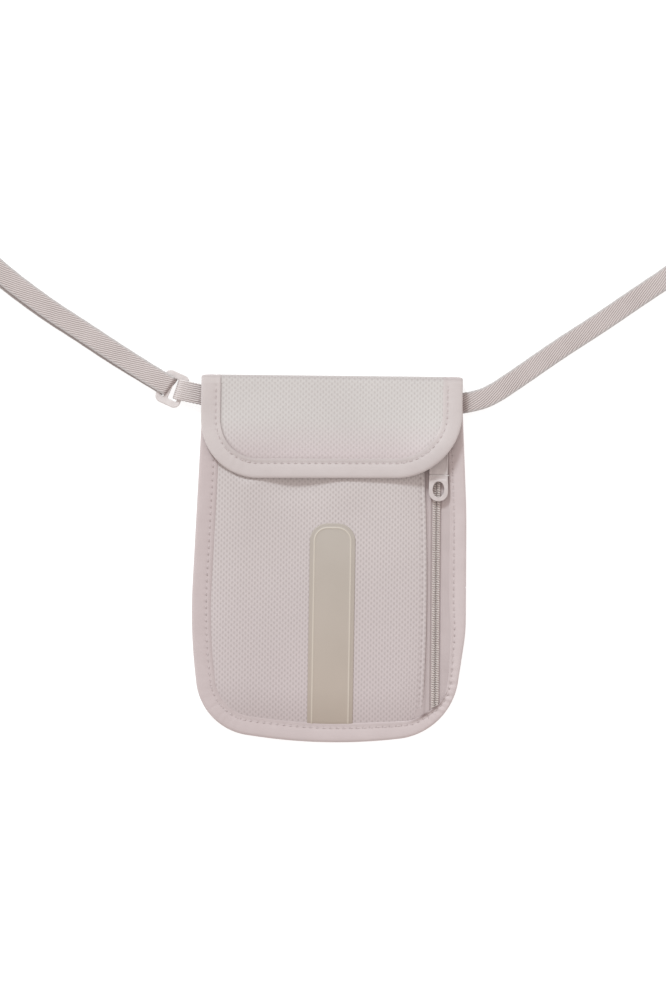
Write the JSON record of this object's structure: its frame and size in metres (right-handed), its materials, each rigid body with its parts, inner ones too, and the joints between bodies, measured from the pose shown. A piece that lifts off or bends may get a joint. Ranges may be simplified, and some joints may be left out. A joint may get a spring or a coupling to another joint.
{
  "type": "neck pouch wallet",
  "caption": "Flat fabric neck pouch with a flap, a zipped front pocket and an adjustable webbing neck strap, lying on its back.",
  "frame": {"origin": "on the surface the pouch lies on, under the middle of the pouch's body (strap left out)", "axes": "+X across the pouch to the zip side, +Y along the pouch to the fold of the flap, +Z out of the front; the pouch lies on its back"},
  "size_m": [0.4362, 0.4393, 0.0107],
  "materials": {
    "mesh_fabric": "dimpled warp-knit spacer mesh, matt",
    "binding_tape": "finely ribbed polyester tape, slight sheen",
    "lining_fabric": "plain thin weave",
    "label_plastic": "smooth soft plastic film with a raised rim line",
    "closure": "hook and loop pile",
    "zip_tape": "fine herringbone zip tape",
    "zip_coil": "nylon coil",
    "slider_metal": "lacquered zinc",
    "pull_plastic": "moulded, softly glossy",
    "webbing": "ribbed twill webbing",
    "buckle_plastic": "moulded acetal, softly glossy"
  },
  "bodies": {
    "root": {"back_panel": "mesh_fabric", "back_lining": "lining_fabric", "divider_lining": "lining_fabric", "front_panel": "mesh_fabric", "mouth_binding": "binding_tape", "body_binding": "binding_tape", "label_patch": "label_plastic", "loop_patch": "closure", "zip_tape_left": "zip_tape", "zip_tape_right": "zip_tape", "zip_coil_left": "zip_coil", "zip_coil_right": "zip_coil", "flap_fold": "mesh_fabric", "strap_tab": "webbing", "strap_buckle": "buckle_plastic", "neck_strap": "webbing", "strap_tail": "webbing"},
    "flap": {"flap_panel": "mesh_fabric", "flap_lining": "lining_fabric", "flap_binding": "binding_tape", "hook_patch": "closure"},
    "zip_slider": {"slider_body": "slider_metal", "pull_cover": "pull_plastic", "pull_pin": "slider_metal"},
    "pull": {"zip_pull": "pull_plastic"}
  },
  "joints": [
    {"name": "flap_hinge", "type": "hinge", "parent": "root", "child": "flap", "pos_m": [0, 0.0922, 0.006], "axis": [-1, 0, 0], "range_deg": [0, 175], "deforming": ["flap_fold"]},
    {"name": "zip_travel", "type": "slide", "parent": "root", "child": "zip_slider", "axis": [0, -1, 0], "range_m": [0, 0.107]},
    {"name": "pull_pivot", "type": "hinge", "parent": "zip_slider", "child": "pull", "pos_m": [0.0579, 0.045, 0.00795], "axis": [-1, 0, 0], "range_deg": [0, 80]}
  ]
}
